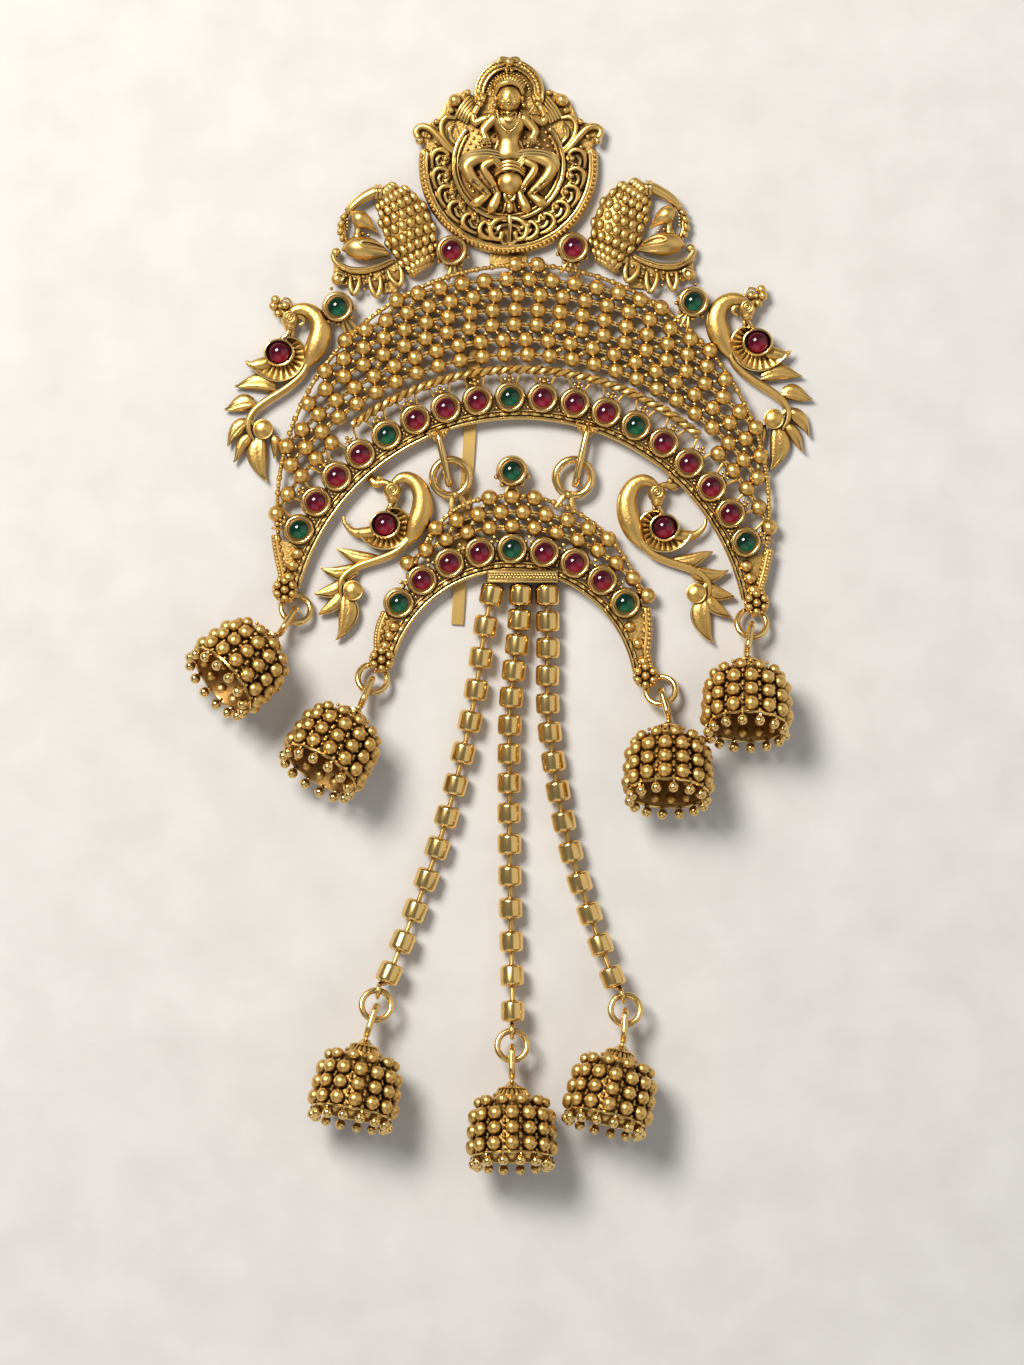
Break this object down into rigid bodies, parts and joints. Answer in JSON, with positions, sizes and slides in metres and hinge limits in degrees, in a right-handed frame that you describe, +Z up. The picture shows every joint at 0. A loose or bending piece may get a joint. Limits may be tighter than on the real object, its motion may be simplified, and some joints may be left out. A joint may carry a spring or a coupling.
{
  "type": "braid ornament",
  "caption": "Traditional crescent braid ornament with a seated deity medallion, birds, cabochons, bead strands and bell drops, lying face up.",
  "frame": {"origin": "middle of the footprint, on the surface the ornament lies on", "axes": "+Y towards the medallion, +X to the right as seen from the front, +Z up through the face"},
  "size_m": [0.0935, 0.1678, 0.0147],
  "materials": {
    "gold": "antique satin",
    "ruby": "polished",
    "emerald": "polished"
  },
  "bodies": {
    "root": {"upper_crescent": "gold", "lower_crescent": "gold", "medallion": "gold", "hair_clip": "gold", "shoulder_bird_left": "gold", "side_peacock_left": "gold", "inner_peacock_left": "gold", "shoulder_bird_right": "gold", "side_peacock_right": "gold", "inner_peacock_right": "gold", "ring_upper_left": "gold", "link_upper_left": "gold", "jhumka_upper_left": "gold", "ring_upper_right": "gold", "link_upper_right": "gold", "jhumka_upper_right": "gold", "ring_lower_left": "gold", "link_lower_left": "gold", "jhumka_lower_left": "gold", "ring_lower_right": "gold", "link_lower_right": "gold", "jhumka_lower_right": "gold", "ring_bottom_left": "gold", "link_bottom_left": "gold", "jhumka_bottom_left": "gold", "ring_bottom_middle": "gold", "link_bottom_middle": "gold", "jhumka_bottom_middle": "gold", "ring_bottom_right": "gold", "link_bottom_right": "gold", "jhumka_bottom_right": "gold", "strand_left": "gold", "strand_wire_left": "gold", "strand_middle": "gold", "strand_wire_middle": "gold", "strand_right": "gold", "strand_wire_right": "gold", "upper_rubies": "ruby", "flank_ruby_left": "ruby", "side_ruby_left": "ruby", "inner_ruby_left": "ruby", "flank_ruby_right": "ruby", "side_ruby_right": "ruby", "inner_ruby_right": "ruby", "lower_stone_2": "ruby", "lower_stone_3": "ruby", "lower_stone_4": "ruby", "lower_stone_6": "ruby", "lower_stone_7": "ruby", "lower_stone_8": "ruby", "upper_emeralds": "emerald", "finial_emerald": "emerald", "shoulder_emerald_left": "emerald", "shoulder_emerald_right": "emerald", "lower_stone_1": "emerald", "lower_stone_5": "emerald", "lower_stone_9": "emerald"}
  },
  "joints": []
}
